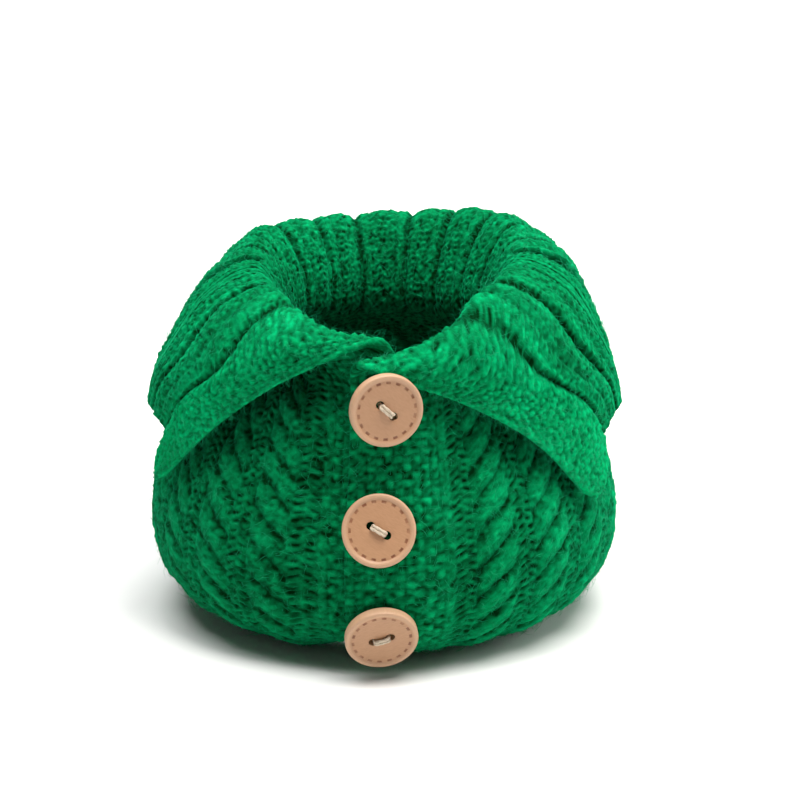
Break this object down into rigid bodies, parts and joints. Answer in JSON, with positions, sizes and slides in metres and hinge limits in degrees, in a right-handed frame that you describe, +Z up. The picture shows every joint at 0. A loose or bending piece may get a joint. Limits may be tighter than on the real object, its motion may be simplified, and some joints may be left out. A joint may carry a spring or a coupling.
{
  "type": "tea cosy",
  "caption": "Cable-knit tea cosy that wraps a round teapot, with a fold-down collar and a lapped moss-stitch band closed by wooden buttons.",
  "frame": {"origin": "middle of the part's box, on the table under the hem", "axes": "+Z up; -Y towards the buttoned front; +X towards the side whose slit takes the teapot's handle, -X towards the spout's slit"},
  "size_m": [0.1902, 0.1984, 0.1501],
  "materials": {
    "knit": "fluffy double-knitting yarn, cables and moss stitch",
    "wood": "satin, with a ring of burnt dashes",
    "thread": "matt cotton"
  },
  "bodies": {
    "root": {"knitted_cover": "knit", "button_top": "wood", "button_middle": "wood", "button_bottom": "wood", "thread_top": "thread", "thread_middle": "thread", "thread_bottom": "thread"}
  },
  "joints": []
}
